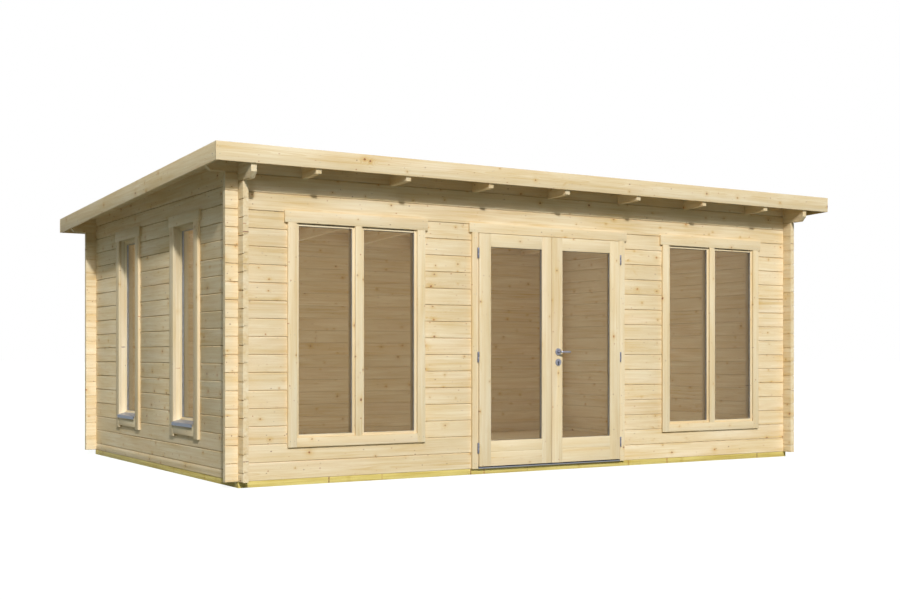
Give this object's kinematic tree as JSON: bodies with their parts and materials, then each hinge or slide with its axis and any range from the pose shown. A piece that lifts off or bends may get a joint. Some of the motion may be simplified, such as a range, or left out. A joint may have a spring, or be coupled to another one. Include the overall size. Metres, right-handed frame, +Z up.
{
  "type": "garden office pod",
  "caption": "Log-built garden office pod with a shallow lean-to roof, glazed double doors between wide fixed windows and narrow windows in one side wall.",
  "frame": {"origin": "on the ground, under the middle of the bounding box", "axes": "+X along the front wall to the right seen from outside, +Y from the front to the back, +Z up"},
  "size_m": [6.252, 4.352, 2.5159],
  "materials": {
    "log_wood": "planed spruce",
    "joinery_wood": "planed spruce",
    "board_wood": "planed spruce",
    "treated_wood": "green treated softwood",
    "felt": "mineral roofing felt",
    "glass": "clear",
    "spacer_metal": "satin",
    "sheet_metal": "satin anodised",
    "hinge_steel": "zinc plated",
    "handle_steel": "satin",
    "cylinder_metal": "satin nickel on brass"
  },
  "bodies": {
    "building": {"foundation_long_beams": "treated_wood", "foundation_short_beams": "treated_wood", "floor_joists": "treated_wood", "floor_boards": "board_wood", "front_wall_left": "log_wood", "front_wall_right": "log_wood", "front_wall_top": "log_wood", "back_wall": "log_wood", "left_wall": "log_wood", "right_wall": "log_wood", "rafters": "board_wood", "roof_boards": "board_wood", "roof_felt": "felt", "fascia_front": "board_wood", "fascia_back": "board_wood", "fascia_sides": "board_wood", "left_front_window_frame": "joinery_wood", "left_front_window_trim": "joinery_wood", "left_front_window_glass": "glass", "right_front_window_frame": "joinery_wood", "right_front_window_trim": "joinery_wood", "right_front_window_glass": "glass", "near_side_window_frame": "joinery_wood", "near_side_window_trim": "joinery_wood", "near_side_window_sill": "sheet_metal", "near_side_window_glass": "glass", "far_side_window_frame": "joinery_wood", "far_side_window_trim": "joinery_wood", "far_side_window_sill": "sheet_metal", "far_side_window_glass": "glass", "window_spacers": "spacer_metal", "door_frame": "joinery_wood", "door_trim": "joinery_wood", "door_threshold": "sheet_metal", "frame_hinges": "hinge_steel"},
    "left_leaf": {"left_door_leaf": "joinery_wood", "left_door_glass": "glass", "left_door_spacer": "spacer_metal", "left_door_hinges": "hinge_steel"},
    "right_leaf": {"right_door_leaf": "joinery_wood", "right_door_glass": "glass", "right_door_spacer": "spacer_metal", "right_door_hinges": "hinge_steel", "handle_roses": "handle_steel", "lock_escutcheons": "handle_steel", "lock_cylinder": "cylinder_metal"},
    "handle": {"door_handle": "handle_steel"}
  },
  "joints": [
    {"name": "left_door", "type": "hinge", "parent": "building", "child": "left_leaf", "pos_m": [-0.752, -1.931, 0.973], "axis": [0, 0, -1], "range_deg": [0, 110]},
    {"name": "right_door", "type": "hinge", "parent": "building", "child": "right_leaf", "pos_m": [0.752, -1.931, 0.973], "axis": [0, 0, 1], "range_deg": [0, 110]},
    {"name": "lever", "type": "hinge", "parent": "right_leaf", "child": "handle", "pos_m": [0.06, -1.935, 1.018], "axis": [0, 1, 0], "range_deg": [0, 45], "stiffness_Nm_per_rad": 1.5, "springref_deg": -17.19}
  ]
}
